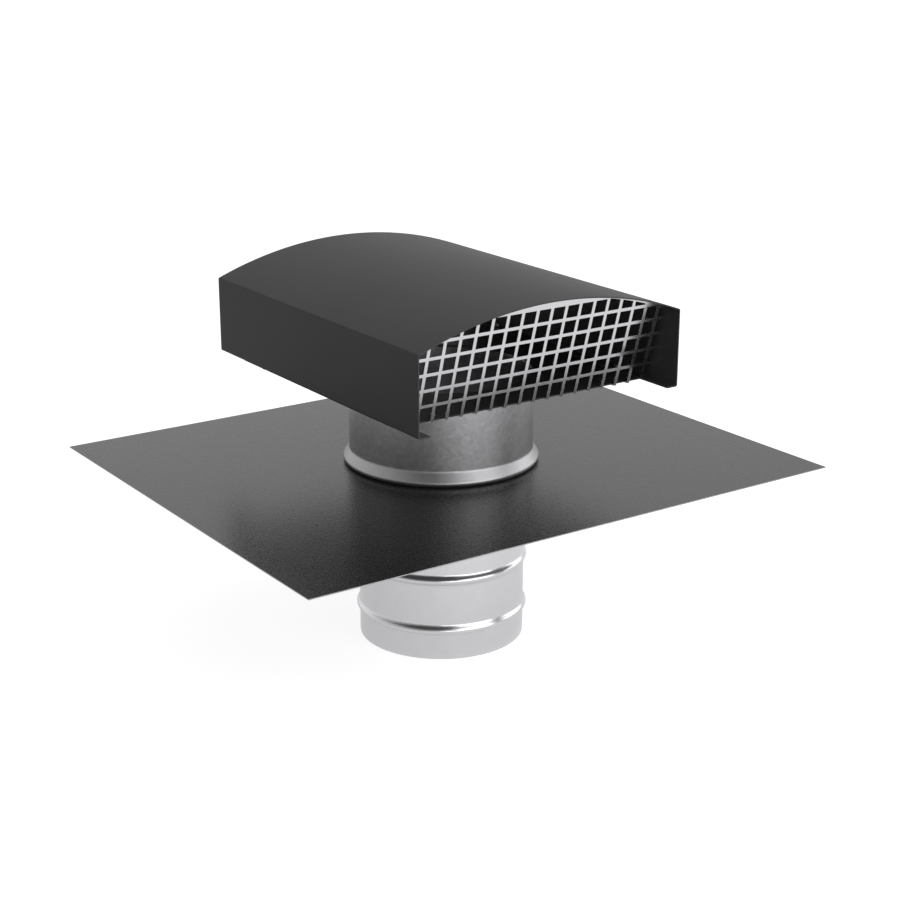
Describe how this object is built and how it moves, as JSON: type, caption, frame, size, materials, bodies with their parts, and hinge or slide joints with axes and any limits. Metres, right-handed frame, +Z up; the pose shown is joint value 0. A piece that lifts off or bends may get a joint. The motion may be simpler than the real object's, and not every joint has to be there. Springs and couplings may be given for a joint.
{
  "type": "roof vent outlet",
  "caption": "Roof outlet for an exhaust air duct: flashing plate with a beaded duct spigot below, and on a neck above it a curved sheet hood, open at both ends behind leaning mesh grilles.",
  "frame": {"origin": "on the duct's axis, at the flashing plate's underside, which is the roof line", "axes": "+Z up along the duct's axis, +X across the hood and along the plate's long side, -Y the hood's front end"},
  "size_m": [0.56, 0.46, 0.3613],
  "materials": {
    "hood_paint": "satin slate grey paint",
    "flashing_paint": "semi-gloss anthracite paint, faintly textured",
    "neck_zinc": "galvanised, spangled and dull",
    "spigot_zinc": "galvanised, bright",
    "grille_zinc": "galvanised, bright",
    "rivet_metal": "plain"
  },
  "bodies": {
    "root": {"flashing_plate": "flashing_paint", "duct_spigot": "spigot_zinc", "neck_collar": "neck_zinc", "hood_floor": "hood_paint", "hood_shell": "hood_paint", "flange_rivets": "rivet_metal", "front_grille": "grille_zinc", "front_grille_rivets": "rivet_metal", "rear_grille": "grille_zinc", "rear_grille_rivets": "rivet_metal"}
  },
  "joints": []
}
